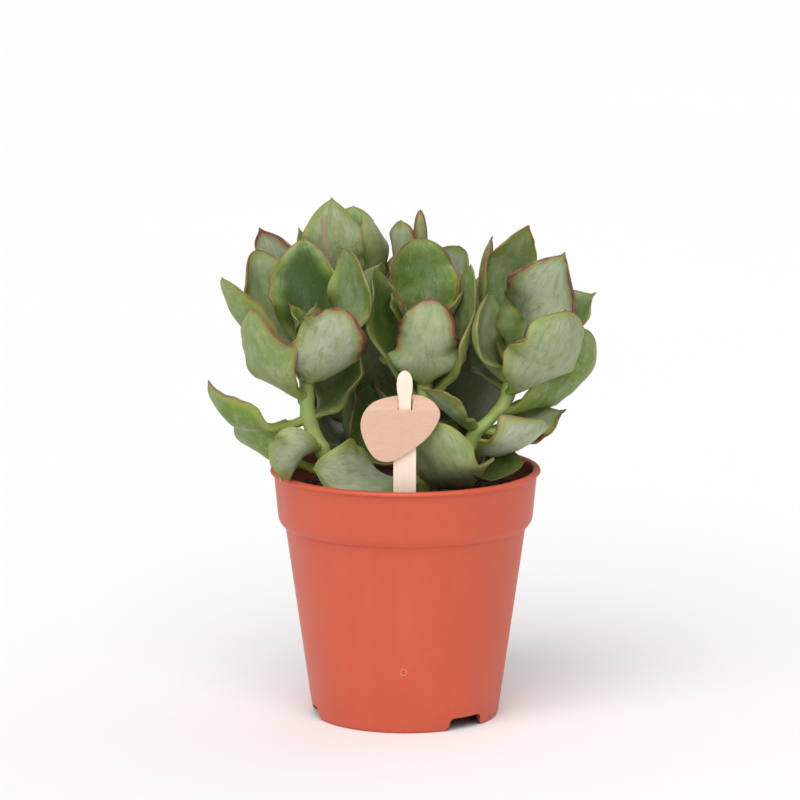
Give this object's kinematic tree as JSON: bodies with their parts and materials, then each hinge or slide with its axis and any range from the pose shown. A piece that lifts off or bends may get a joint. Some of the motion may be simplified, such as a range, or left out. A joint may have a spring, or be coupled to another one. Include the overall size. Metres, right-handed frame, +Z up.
{
  "type": "potted silver jade plant",
  "caption": "Potted silver jade plant: short upright stems of thick, wavy-edged leaves in a tapered plastic nursery pot full of soil, with a bare wooden tag on a pick.",
  "frame": {"origin": "on the pot's axis, in the middle of the plant's footprint, at the surface that the pot stands on", "axes": "+Z up along the pot's axis, -Y towards the side that the wooden tag faces, +X to the right seen from that side"},
  "size_m": [0.1288, 0.0915, 0.1715],
  "materials": {
    "pot_plastic": "thin terracotta-coloured polypropylene, satin, lightly scuffed, smooth inside and out",
    "potting_soil": "dark brown peat-based potting soil with crumbs and a few pale fibres, dull",
    "pick_wood": "pale bare birch with a fine straight grain, sanded, unvarnished",
    "tag_wood": "pinkish-beige bare veneer, finely flecked, with toasted cut edges and a blank face",
    "leaf": "thick succulent leaf, grey-green with a waxy bloom outside and clearer green inside, maroon margin"
  },
  "bodies": {
    "root": {"pot": "pot_plastic", "soil": "potting_soil", "pick": "pick_wood", "tag": "tag_wood", "stem_left": "leaf", "stem_middle": "leaf", "stem_right": "leaf", "stem_back_left": "leaf", "stem_back_middle": "leaf", "stem_back_right": "leaf"}
  },
  "joints": []
}
